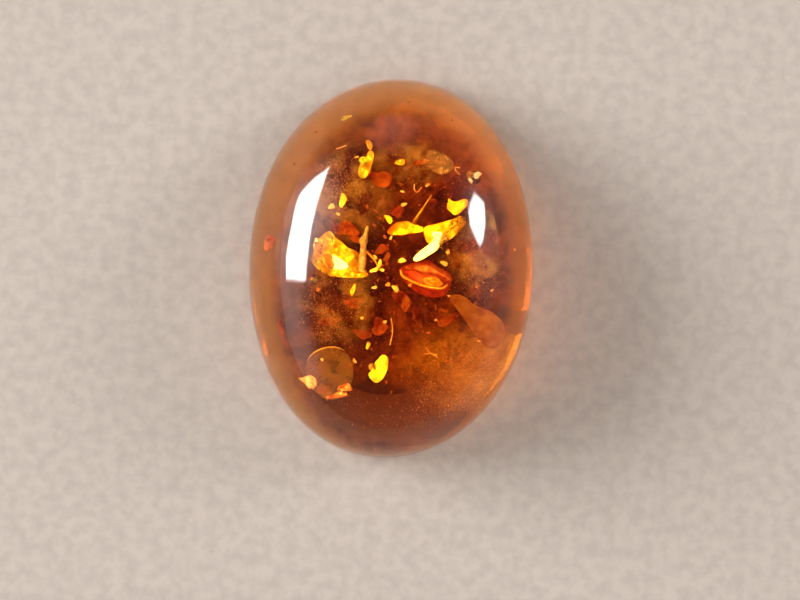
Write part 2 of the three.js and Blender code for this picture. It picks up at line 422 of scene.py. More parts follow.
# The bright flake: a narrow leaf with a wide head, the one that mirrors the window best
BRIGHT_FACING = leaning(22, 162)
BRIGHT_OUTLINE = [
    (412.5, 260), (416, 261.5), (421.5, 260), (428.5, 255.5), (436, 251), (442, 246), (441.5, 243.5),
    (447.5, 240.5), (448.5, 237), (443, 232.5), (437.5, 231.5), (432, 232), (432.5, 236), (435, 237.5),
    (431, 244), (424.5, 248), (416, 255),
]
bright_flake = golden_flake("bright_flake", BRIGHT_OUTLINE, BRIGHT_FACING, "bright_flake", depth=0.02 * MM)
finish_piece(bright_flake, bright_leaf, "golden_flake", "bright_flake")

# The corner flake: small and ragged, above the sliver's right end
CORNER_FACING = leaning(20, 144)
CORNER_OUTLINE = [
    (448, 197.5), (451.5, 201), (455, 202), (459, 201.5), (462.5, 199), (468, 199), (469, 204), (464, 209),
    (460, 213), (456, 215.5), (452, 214), (451, 211.5), (447.5, 210), (447, 206.5), (448.5, 202),
]
corner_flake = golden_flake("corner_flake", CORNER_OUTLINE, CORNER_FACING, "corner_flake")
finish_piece(corner_flake, gold_leaf, "golden_flake", "corner_flake")

# The broad flake: a folded leaf left of the middle, with a lobe that stands up at its far end
BROAD_FACING = leaning(18.5, 24)
BROAD_OUTLINE = [
    (318, 245), (319.5, 238.5), (324, 234), (328.5, 230), (333.5, 234), (335, 238), (339, 239.5), (344.5, 245.5),
    (349, 249), (356.5, 251), (359.5, 254), (359, 261.5), (359, 268), (369, 273), (368, 276.5), (359.5, 278),
    (347.5, 277.5), (337.5, 277), (329, 276), (325, 273.5), (317, 268.5), (311, 262.5), (311, 256.5), (314, 251.5),
]
BROAD_CORE = [
    (323, 255), (326, 253.5), (330, 254), (336, 256.5), (342, 260), (346, 262.5), (348.5, 267), (345, 269.5),
    (338, 270), (330, 268.5), (325.5, 263.5),
]
BROAD_LOBE = [(312, 252), (316, 244), (320, 237), (327, 231.5), (333, 235.5), (333, 242), (327, 246), (320, 250)]
broad_flake = golden_flake("broad_flake", BROAD_OUTLINE, BROAD_FACING, "broad_flake")
finish_piece(broad_flake, broad_leaf, "golden_flake", "broad_flake")
above_broad = middle_of("broad_flake") + BROAD_FACING * 0.08 * MM
broad_core = golden_flake("broad_core", BROAD_CORE, BROAD_FACING, middle=above_broad, depth=0.01 * MM)
finish_piece(broad_core, bright_leaf, "golden_flake")
broad_lobe = golden_flake("broad_lobe", BROAD_LOBE, leaning(20, 28), middle=above_broad)
finish_piece(broad_lobe, broad_leaf, "golden_flake")

# The upper left flake: a tall leaf with a knob on top and a hook at its side
UPPER_LEFT_FACING = leaning(24.6, 38.7)
UPPER_LEFT_OUTLINE = [
    (369, 149.5), (373.5, 151.5), (374, 156), (371.5, 166.5), (368, 175), (363, 180), (359, 177), (357.5, 172.5),
    (359, 166), (362, 162), (357, 161), (361, 156), (365, 157), (367.5, 154.5),
]
UPPER_LEFT_KNOB = [(365, 140), (368.5, 139.5), (372, 143), (372.5, 146.5), (371.5, 151), (369, 150.5), (366.5, 145)]
upper_left = golden_flake("upper_left_flake", UPPER_LEFT_OUTLINE, UPPER_LEFT_FACING, "upper_left_flake")
upper_left_knob = golden_flake("flake_knob", UPPER_LEFT_KNOB, UPPER_LEFT_FACING, "upper_left_flake")
upper_left = join_pieces(upper_left, upper_left_knob)
finish_piece(upper_left, gold_leaf, "golden_flake", "upper_left_flake")

# The leaf flake: a smooth leaf near the lower end
LEAF_FACING = leaning(26.3, 188)
LEAF_OUTLINE = [
    (383.5, 354), (387.5, 356.5), (389, 362), (388, 367), (385.5, 375), (381.5, 381), (376, 383), (372, 381),
    (369.5, 376.5), (368.5, 373.5), (371.5, 371.5), (372.5, 368), (375.5, 362), (379.5, 357.5),
]
leaf_flake = golden_flake("leaf_flake", LEAF_OUTLINE, LEAF_FACING, "leaf_flake")
finish_piece(leaf_flake, gold_leaf, "golden_flake", "leaf_flake")

# The seed husk
# A split red husk, round below and hollow above like a boat, with a golden lip, orange pulp and a
# golden kernel inside it. The husk is a disc whose middle is lifted into a dome and given a wall.
HUSK_FACING = leaning(14.6, 164)
HUSK_OUTLINE = [
    (399.5, 269.5), (407, 265.5), (414.5, 264), (422.5, 261.5), (429, 260.5), (435, 265), (441, 269.5), (449, 273.5),
    (451.5, 278), (450.5, 282), (449, 288), (446.5, 294), (441, 297), (431, 296.5), (420.5, 293.5), (413, 289),
    (407, 282.5), (401, 275.5),
]
HUSK_LIP = [
    (400.5, 270, 3.1 * MM), (402.5, 275.5, 3.1 * MM), (409.5, 280, 3.1 * MM), (417.5, 283.5, 3.1 * MM),
    (425.7, 286.2, 3.1 * MM), (434, 287.7, 3.1 * MM), (443.5, 287.7, 3.1 * MM), (447.5, 284.5, 3.1 * MM),
]
HUSK_KERNEL = [
    (423.5, 278), (431, 276), (435, 277), (440, 279), (441, 281.5), (443, 284), (441, 286), (435, 286.5),
    (426.5, 286), (424.5, 282),
]
HUSK_PULP = [
    (401, 270), (405, 272), (412, 270.5), (416.5, 275.5), (420.5, 279.5), (423, 283.5), (418.5, 283.5), (410.5, 280),
    (403, 275.5),
]
HUSK_FLAP = [
    (404, 267.5), (409, 266), (416, 265.5), (424, 263), (430, 263), (436, 267), (442, 270.5), (449.5, 275), (451, 280),
    (446, 280), (441, 277), (433.5, 275), (424, 275), (417, 272), (410, 269.5),
]
HUSK_BULGE = 0.34 * MM
HUSK_WALL = 0.14 * MM
HUSK_RED = (0.62, 0.07, 0.05, 1)
HUSK_DARK_RED = (0.38, 0.03, 0.02, 1)
FLAP_RED = (0.5, 0.06, 0.02, 1)
FLAP_ORANGE = (0.62, 0.22, 0.1, 1)


def bulge(piece, facing, height):
    """Lifts a leaf's two inner rings, so that it is domed."""
    bpy.ops.object.mode_set(mode="EDIT")
    shape = bmesh.from_edit_mesh(piece.data)
    bpy.ops.mesh.select_all(action="DESELECT")
    for face in shape.faces:
        if len(face.verts) > 4:
            face.select = True
    bpy.ops.transform.translate(value=facing * height / 2)
    bpy.ops.mesh.select_more()
    bpy.ops.transform.translate(value=facing * height / 2)
    bpy.ops.object.mode_set(mode="OBJECT")


husk_middle = middle_of("seed_husk")
husk = cut_leaf("seed_husk", HUSK_OUTLINE, husk_middle - HUSK_FACING * 0.2 * MM, HUSK_FACING)
bulge(husk, HUSK_FACING, HUSK_BULGE)
smooth(husk, 3)
thicken(husk, HUSK_WALL)
crumple(husk, 0.05 * MM, 0.3 * MM)
husk_skin = grainy_material("husk_skin", HUSK_DARK_RED, HUSK_RED, 0.35 * MM, 0.5, (0.35, 0.55), 0.008 * MM)
finish_piece(husk, husk_skin, "red_husk", "seed_husk")

husk_flap = cut_leaf("husk_flap", HUSK_FLAP, husk_middle + HUSK_FACING * 0.2 * MM, leaning(20, 165))
bulge(husk_flap, HUSK_FACING, 0.1 * MM)
smooth(husk_flap, 3)
thicken(husk_flap, 0.09 * MM)
crumple(husk_flap, 0.07 * MM, 0.3 * MM)
flap_skin = grainy_material("husk_flap_skin", FLAP_RED, FLAP_ORANGE, 0.3 * MM, 0.6, (0.35, 0.5), 0.008 * MM)
finish_piece(husk_flap, flap_skin, "red_husk")

husk_lip = strand("husk_lip", HUSK_LIP, [0.08 * MM] + [0.15 * MM] * 6 + [0.08 * MM])
crumple(husk_lip, 0.03 * MM, 0.15 * MM)
lip_skin = grainy_material("husk_lip_skin", (0.95, 0.38, 0.05, 1), (1.0, 0.68, 0.14, 1), 0.2 * MM, 0.7, (0.25, 0.45))
finish_piece(husk_lip, lip_skin, "red_husk")

husk_pulp = golden_flake("husk_pulp", HUSK_PULP, leaning(24, 170), middle=husk_middle + HUSK_FACING * 0.14 * MM)
pulp_skin = grainy_material("husk_pulp_skin", (0.5, 0.13, 0.02, 1), (0.85, 0.4, 0.07, 1), 0.2 * MM, 0.7, (0.35, 0.5), 0.01 * MM)
finish_piece(husk_pulp, pulp_skin, "red_husk")

husk_kernel = golden_flake("husk_kernel", HUSK_KERNEL, leaning(25, 172), middle=husk_middle + HUSK_FACING * 0.16 * MM)
crumple(husk_kernel, 0.1 * MM, 0.22 * MM)
kernel_skin = grainy_material("husk_kernel_skin", (0.45, 0.15, 0.02, 1), (0.85, 0.5, 0.06, 1), 0.2 * MM, 0.8, (0.35, 0.5), 0.02 * MM)
finish_piece(husk_kernel, kernel_skin, "golden_flake")

# The twig
# A bit of grey-tan twig with a knot, its bark split lengthwise; a side twig ends in a little star of
# golden scales.
TWIG_ROUTE = [
    (361.5, 271.5, 2.93 * MM), (362.5, 262, 2.97 * MM), (363, 252, 3.0 * MM), (363.5, 246.5, 3.05 * MM),
    (363.5, 240.5, 3.08 * MM), (365.5, 235.5, 3.1 * MM), (367.5, 226, 3.15 * MM),
]
TWIG_WIDTHS = [0.26 * MM, 0.33 * MM, 0.3 * MM, 0.26 * MM, 0.42 * MM, 0.2 * MM, 0.13 * MM]
SIDE_TWIG = [(366, 251, 3.0 * MM), (371, 256, 2.98 * MM), (375.5, 261.5, 2.96 * MM), (378.5, 267, 2.95 * MM)]
SIDE_TWIG_WIDTHS = [0.1 * MM, 0.11 * MM, 0.09 * MM, 0.07 * MM]
BARK_DARK = (0.52, 0.38, 0.3, 1)
BARK_LIGHT = (0.92, 0.84, 0.76, 1)
TWIG_SCALES = [((379.5, 264.5), 10, 4, 72), ((374.5, 270), 10, 4, 22), ((381.5, 270), 7, 3, -8), ((375.5, 257.5), 5, 3, -60)]
CHIP_CORNERS = 9


def chip_outline(pixel, length, width, turn):
    """The uneven outline of a small chip, from its middle, its sides and its turn in the picture."""
    along = Vector((math.cos(math.radians(turn)), -math.sin(math.radians(turn)))) * length / 2
    across = Vector((math.sin(math.radians(turn)), math.cos(math.radians(turn)))) * width / 2
    outline = []
    for corner in range(CHIP_CORNERS):
        angle = 2 * math.pi * corner / CHIP_CORNERS
        reach = 1 + 0.24 * math.sin(3 * angle + pixel[0]) + 0.16 * math.sin(5 * angle + pixel[1])
        outline.append(Vector(pixel) + along * reach * math.cos(angle) + across * reach * math.sin(angle))
    return outline


def small_chips(name, chips, height, facing):
    """Small flat chips, joined; each is given by its middle, length, width and turn in the picture."""
    made = []
    for pixel, length, width, turn in chips:
        chip = cut_leaf(name, chip_outline(pixel, length, width, turn), seen_in_amber(pixel, height), facing)
        smooth(chip, 2)
        crumple(chip, 0.04 * MM, 0.25 * MM)
        thicken(chip, 0.04 * MM)
        made.append(chip)
    return join_pieces(*made)


twig = strand("twig", TWIG_ROUTE, TWIG_WIDTHS)
crumple(twig, 0.05 * MM, 0.12 * MM)
bark = grainy_material("twig_bark", BARK_DARK, BARK_LIGHT, 0.14 * MM, 0.45, (0.45, 0.7), 0.02 * MM)
finish_piece(twig, bark, "tan_twig", "twig")
side_twig = strand("side_twig", SIDE_TWIG, SIDE_TWIG_WIDTHS)
crumple(side_twig, 0.03 * MM, 0.1 * MM)
side_bark = grainy_material("side_twig_bark", (0.9, 0.45, 0.1, 1), (1.0, 0.7, 0.25, 1), 0.14 * MM, 0.6, (0.3, 0.5))
finish_piece(side_twig, side_bark, "tan_twig")
twig_scales = small_chips("twig_scales", TWIG_SCALES, 3.0 * MM, leaning(28, 165))
finish_piece(twig_scales, side_bark, "tan_twig")

# The discs
# Round strain cracks that opened in the resin: films of air, clear and stained brown, whose edge
# mirrors the light. The bright upper arc of the lower disc is a painted highlight, a golden thread
# laid along it. The brown shard is a thicker wedge of stained resin beside them.
DISC_FACING = leaning(21, 140)
DISC_OUTLINE = [
    (329.5, 347.5), (339, 348.5), (347, 352.5), (352.5, 361), (354, 372), (352.5, 384), (347, 394), (339, 399.5),
    (328, 400), (316, 394), (308, 383), (305, 371), (307.5, 360.5), (315, 352),
]
PAINTED_HIGHLIGHT_WIDTHS = [0.01, 0.04, 0.06, 0.08, 0.07, 0.04, 0.01]
UPPER_DISC_FACING = leaning(16.9, 135.6)
UPPER_DISC_OUTLINE = [
    (428, 149.5), (434, 149.5), (443, 154), (451, 158), (454.5, 165.5), (452, 170.5), (447.5, 173.5), (441.5, 175),
    (436, 173.5), (430, 168.5), (426, 165), (418, 164), (426, 159.5),
]
SHARD_FACING = leaning(18.8, 31.2)
SHARD_OUTLINE = [
    (449.5, 296), (457, 294), (465.5, 297), (470, 302), (478, 307.5), (490.5, 311), (497, 316), (504, 323),
    (505, 333), (502, 342), (496, 348.5), (490.5, 348), (483.5, 344.5), (476.5, 337), (471, 330), (465, 320),
    (457, 308.5), (451.5, 302),
]


def stained_film(name, colour, film_ior, roughness, transmission, metallic=0.0):
    material = grainy_material(name, colour[0], colour[1], 0.5 * MM, metallic, roughness)
    skin = material.node_tree.nodes["Principled BSDF"]
    skin.inputs["IOR"].default_value = film_ior
    skin.inputs["Transmission Weight"].default_value = transmission
    return material


def domed_disc(name, outline, facing, node, thickness):
    disc = cut_leaf(name, outline, middle_of(node), facing)
    smooth(disc, 3)
    thicken(disc, thickness)
    crumple(disc, 0.06 * MM, 0.9 * MM)
    return disc


lower_disc = domed_disc("lower_disc", DISC_OUTLINE, DISC_FACING, "lower_disc", 0.07 * MM)
disc_film = stained_film("disc_film", [(0.5, 0.24, 0.08, 1), (0.85, 0.5, 0.2, 1)], 0.75, (0.12, 0.3), 0.85)
finish_piece(lower_disc, disc_film, "orange_plate", "lower_disc")
upper_disc = domed_disc("upper_disc", UPPER_DISC_OUTLINE, UPPER_DISC_FACING, "upper_disc", 0.07 * MM)
finish_piece(upper_disc, disc_film, "orange_plate", "upper_disc")
brown_shard = domed_disc("brown_shard", SHARD_OUTLINE, SHARD_FACING, "brown_shard", 0.14 * MM)
shard_resin = stained_film("shard_resin", [(0.42, 0.12, 0.03, 1), (0.66, 0.3, 0.1, 1)], 1.1, (0.3, 0.6), 0.45, 0.2)
finish_piece(brown_shard, shard_resin, "orange_plate", "brown_shard")
# Painted highlight: a bright golden thread along the lower disc's upper arc, where its edge mirrors the window.
DISC_PAINTED_HIGHLIGHT = [(307, 361), (311, 355.5), (316, 351.5), (322, 348.8), (329.5, 347.2), (339, 348), (345, 351)]
disc_top = middle_of("lower_disc").z + 0.3 * MM
disc_painted_highlight = strand("disc_painted_highlight", [(x, y, disc_top) for x, y in DISC_PAINTED_HIGHLIGHT], [width * MM for width in PAINTED_HIGHLIGHT_WIDTHS])
painted_highlight_skin = grainy_material("disc_painted_highlight", (0.95, 0.5, 0.06, 1), (1.0, 0.75, 0.14, 1), 0.2 * MM, 0.2, (0.3, 0.5))
finish_piece(disc_painted_highlight, painted_highlight_skin, "golden_flake")

# Crumbs
# Small bits of the same golden leaf, and paler tan bits of plant, scattered between the large ones.
GOLDEN_CRUMBS = [
    ((389, 219), 11, 6, -50), ((400.5, 162.3), 11, 6.5, 5), ((343, 200.5), 15, 7, 75), ((346.5, 117.5), 12, 4, 22),
    ((368.3, 345.3), 9, 4, 72), ((353, 290), 13, 4.5, 70),
]
TAN_CRUMBS = [
    ((331.5, 206.5), 7, 5, 30), ((354.7, 360.8), 6, 3, -55), ((370.7, 366.7), 7, 3.5, 75), ((444.5, 263.5), 8, 4.5, -25),
    ((402, 260.5), 9, 5, 10), ((395.5, 288.5), 9, 5, -45), ((388, 284.5), 5, 4, 20), ((374.5, 287.5), 6, 3, 15),
    ((404, 204.5), 6.5, 3.5, 20), ((356.5, 157), 4.5, 2, 15), ((427.5, 185), 5, 2.5, 35), ((402.5, 191.5), 5, 2, -15),
    ((476, 287), 3.5, 3, 0), ((492, 290.5), 4, 2.5, 40), ((322, 359.5), 4, 3, -60), ((479, 341), 4, 2, 0),
    ((448, 252), 5, 4, 60), ((385, 322), 4, 3, 30), ((362, 318), 4, 3, 0), ((410, 285), 4, 2.5, 45),
    ((391, 238), 5, 2.5, 70), ((338, 214), 5, 3, -20), ((449, 296), 3, 2, 0), ((436, 320), 3, 2, 45),
]
CRUMB_HEIGHT = 3.1 * MM
golden_crumbs = small_chips("golden_crumbs", GOLDEN_CRUMBS, CRUMB_HEIGHT, leaning(29, 165))
finish_piece(golden_crumbs, gold_leaf, "golden_flake")
tan_crumbs = small_chips("tan_crumbs", TAN_CRUMBS, CRUMB_HEIGHT, leaning(24, 165))
tan_leaf = grainy_material("tan_leaf", (0.85, 0.45, 0.16, 1), (1.0, 0.72, 0.4, 1), 0.3 * MM, 0.5, (0.4, 0.65), 0.01 * MM)
finish_piece(tan_crumbs, tan_leaf, "tan_twig")
side_leaf = small_chips("side_leaf", [((315.7, 244), 13, 5, 85)], 3.25 * MM, leaning(14.5, 35))
finish_piece(side_leaf, bright_leaf, "golden_flake")

# Hairs
# Fine plant hairs and hairline cracks, a few hundredths of a millimetre thick.
HAIRS = {
    "curled_hair": [(414.5, 184, 3.2), (414.5, 189.5, 3.2), (416.5, 192, 3.15), (419.7, 189.6, 3.1), (421.6, 187.2, 3.1)],
    "curved_hair": [(336, 149, 2.9), (341, 147.5, 2.9), (346.7, 145.5, 2.95)],
    "side_hair": [(459.9, 167.6, 3), (455, 168, 3), (456.5, 171.4, 3), (459.9, 174.8, 2.95)],
    "crack_hair": [(425, 347.5, 2.4), (431, 353.5, 2.4), (437.5, 355, 2.4)],
    "crack_branch": [(424, 354, 2.4), (431, 353.8, 2.4), (438, 357.5, 2.4)],
    "long_hair": [(390, 345, 2.8), (392.5, 330, 2.8), (391, 318, 2.75)],
}
HAIR_WIDTH = 0.05 * MM
hairs = []
for name, stops in HAIRS.items():
    route = [(x, y, height * MM) for x, y, height in stops]
    hairs.append(strand(name, route, [HAIR_WIDTH] * len(route)))
plant_hairs = join_pieces(*hairs)
plant_hairs.name = "plant_hairs"
finish_piece(plant_hairs, tan_leaf, "tan_twig")

# Soft orange bits
# Lumps of red-orange and brown tissue, soft at the edge, deeper in the stone than the leaves. Two
# bright orange lumps at the lower disc's bottom edge are a painted glow.
def soft_bit(name, pixel, height, size, turn, thickness=0.16 * MM, lean=26):
    """A lumpy cushion with the given length and width in pixels of the picture."""
    leaf = cut_leaf(name, chip_outline(pixel, size[0], size[1], turn), seen_in_amber(pixel, height), leaning(lean, 165))
    smooth(leaf, 3)
    thicken(leaf, thickness)
    crumple(leaf, 0.22 * MM, 0.35 * MM)
    return leaf


ORANGE_BITS = [
    ((381, 179), 2.5, (26, 17), -15), ((346, 229), 2.4, (28, 15), -12), ((355, 238), 2.4, (16, 8), -30),
    ((422, 162), 2.5, (14, 4), 15), ((398, 212), 2.7, (14, 9), 50), ((382, 249), 2.6, (13, 8), 40),
]
BROWN_BITS = [
    ((380, 327), 2.1, (19, 15), 80), ((402, 300), 2.2, (26, 14), -50), ((387, 257), 2.8, (11, 4), 60),
    ((325, 388), 2.2, (18, 12), 20), ((355, 303), 2.0, (22, 10), 10), ((432, 204), 2.2, (13, 8), 60),
    ((448, 320), 1.9, (26, 9), 30), ((362, 334), 1.9, (20, 8), -20), ((415, 312), 2.0, (14, 8), -60),
    ((269, 243), 1.6, (17, 11), 65), ((282, 330), 1.2, (30, 5), 105), ((330, 322), 2.0, (22, 8), 10),
]
disc_height = middle_of("lower_disc").z / MM
# Painted glow: two bright orange lumps where light glows at the lower disc's bottom edge.
PAINTED_GLOW_BITS = [((345, 388), disc_height + 0.5, (16, 8), 8), ((338, 395.5), disc_height + 0.5, (24, 5), 12)]
orange_bits = join_pieces(*[soft_bit("orange_bits", p, h * MM, size, turn) for p, h, size, turn in ORANGE_BITS])
orange_flesh = stained_film("orange_flesh", [(0.45, 0.06, 0.015, 1), (0.8, 0.27, 0.08, 1)], 1.05, (0.5, 0.7), 0.6)
finish_piece(orange_bits, orange_flesh, "orange_plate")
brown_bits = join_pieces(*[soft_bit("brown_bits", p, h * MM, size, turn) for p, h, size, turn in BROWN_BITS])
brown_flesh = stained_film("brown_flesh", [(0.45, 0.1, 0.03, 1), (0.85, 0.36, 0.13, 1)], 1.05, (0.5, 0.7), 0.55)
finish_piece(brown_bits, brown_flesh, "orange_plate")
# The bright orange of these lumps is painted glow.
painted_glow_bits = join_pieces(*[soft_bit("painted_glow_bits", p, h * MM, size, turn) for p, h, size, turn in PAINTED_GLOW_BITS])
painted_glow_skin = grainy_material("painted_glow_skin", (0.85, 0.17, 0.03, 1), (0.95, 0.34, 0.07, 1), 0.3 * MM, 0.75, (0.25, 0.45), 0.01 * MM)
finish_piece(painted_glow_bits, painted_glow_skin, "orange_plate")

# The wisp
# A torn scrap of orange skin by the lower disc, with a frayed lower edge.
WISP_OUTLINE = [
    (296, 377), (303, 378.5), (309, 374.5), (313, 376.5), (317, 379), (317, 387.5), (314.5, 386), (313, 391),
    (311, 386.5), (309, 390.5), (306.5, 384.5), (302, 381),
]
wisp = golden_flake("wisp", WISP_OUTLINE, leaning(30, 190), middle=seen_in_amber((309, 382), 2.9 * MM))
wisp_skin = grainy_material(
    "wisp_skin", (0.55, 0.11, 0.04, 1), (0.8, 0.32, 0.12, 1), 0.2 * MM, 0.6, (0.35, 0.6), 0.01 * MM
)
finish_piece(wisp, wisp_skin, "orange_plate")

# Bubbles
# Pockets of air in the resin, squeezed a little out of round. Light bends away from them, so each
# has a bright rim on the side of a window.
BUBBLES = [
    ((474, 177), 3.9, 0.36), ((316, 280), 3.0, 0.27), ((294, 164), 3.0, 0.07), ((316, 132), 2.8, 0.07),
    ((324.5, 144), 2.9, 0.09), ((506.5, 327.5), 2.6, 0.07), ((504, 338.5), 2.6, 0.07), ((409, 102), 3.0, 0.06),
    ((493, 370), 2.8, 0.06), ((476, 287), 3.2, 0.08), ((300, 352), 2.8, 0.06), ((452, 120), 3.0, 0.06),
    ((268, 240), 2.4, 0.07), ((430, 430), 2.6, 0.06), ((352, 425), 2.6, 0.06), ((515, 250), 2.4, 0.06),
]
BUBBLE_SQUEEZE = (1.1, 0.9, 0.85)
made = []
for pixel, height, radius in BUBBLES:
    start_piece()
    bpy.ops.mesh.primitive_ico_sphere_add(subdivisions=4, radius=radius * MM, location=seen_in_amber(pixel, height * MM))
    bubble = bpy.context.object
    bubble.scale = BUBBLE_SQUEEZE
    bpy.ops.object.transform_apply(location=True, rotation=True, scale=True)
    crumple(bubble, 0.2 * radius * MM, radius * MM)
    made.append(bubble)
bubbles = join_pieces(*made)
bubbles.name = "bubbles"
air = bpy.data.materials.new("trapped_air")
air.use_nodes = True
skin = air.node_tree.nodes["Principled BSDF"]
skin.inputs["Base Color"].default_value = (1, 1, 1, 1)
skin.inputs["Roughness"].default_value = 0.02
skin.inputs["IOR"].default_value = 1 / AMBER_IOR
skin.inputs["Transmission Weight"].default_value = 1.0
finish_piece(bubbles, air, "clear_amber")
# Painted glint: pale cream chips at the big bubble stand in for the window's glint on it.
bubble_painted_glint = small_chips("bubble_painted_glint", [((477.5, 175), 9, 6, 40), ((470.5, 180.5), 7, 3, -55)], 4.15 * MM, leaning(20, 150))
painted_glint_skin = grainy_material("bubble_painted_glint", (0.8, 0.45, 0.3, 1), (1.0, 0.92, 0.8, 1), 0.2 * MM, 0.3, (0.4, 0.6))
finish_piece(bubble_painted_glint, painted_glint_skin, "clear_amber")

# Flow layers
# The resin ran in several flows. Fine rot settled on one before the next covered it, so that wavy,
# brown-mottled films lie over one another in the stone. Each is clear at its edge and bends no light.
FLOW_THICKNESS = 0.02 * MM
# The films are left paler and mottled round a spot at the lower right: a painted pool of the light that the dome
# focuses there.
SPOT_EDGE_WAVER = 1.6 * MM
PAINTED_LIGHT_MOTTLE = (0.76, 0.64, 0.38, 1)
# The films turn browner round a point near the lower end.
LOWER_BROWN_PIXEL = (394, 414)
LOWER_BROWN_REACH = (4.2 * MM, 1.9 * MM, 4 * MM)
LOWER_BROWN = (0.5, 0.36, 0.25, 1)
MILK_PATCH = 0.9 * MM
MILKY_SPOTS = [((350, 195), (2.4, 2.8)), ((340, 300), (2.3, 2.7)), ((478, 252), (2.0, 2.9)), ((415, 162), (2.2, 1.2))]


def round_spot(nodes, links, where, middle, reach, softness):
    """A value that falls from 1 round a point to 0 at the given distances from it along x, y and z."""
    centred = nodes.new("ShaderNodeMapping")
    centred.vector_type = "TEXTURE"
    centred.inputs["Location"].default_value = middle
    centred.inputs["Scale"].default_value = reach
    links.new(where, centred.inputs["Vector"])
    ball = nodes.new("ShaderNodeTexGradient")
    ball.gradient_type = "SPHERICAL"
    links.new(centred.outputs["Vector"], ball.inputs["Vector"])
    fall = nodes.new("ShaderNodeMapRange")
    fall.interpolation_type = "SMOOTHSTEP"
    fall.inputs["From Max"].default_value = softness
    links.new(ball.outputs["Fac"], fall.inputs["Value"])
    return fall.outputs["Result"]


def mixed(nodes, links, share, first, second):
    """A colour that goes from the first to the second by a share; each is a socket or a colour."""
    mix = nodes.new("ShaderNodeMix")
    mix.data_type = "RGBA"
    links.new(share, mix.inputs["Factor"])
    for socket, colour in ((mix.inputs[6], first), (mix.inputs[7], second)):
        if isinstance(colour, tuple):
            socket.default_value = colour
        else:
            links.new(colour, socket)
    return mix.outputs[2]


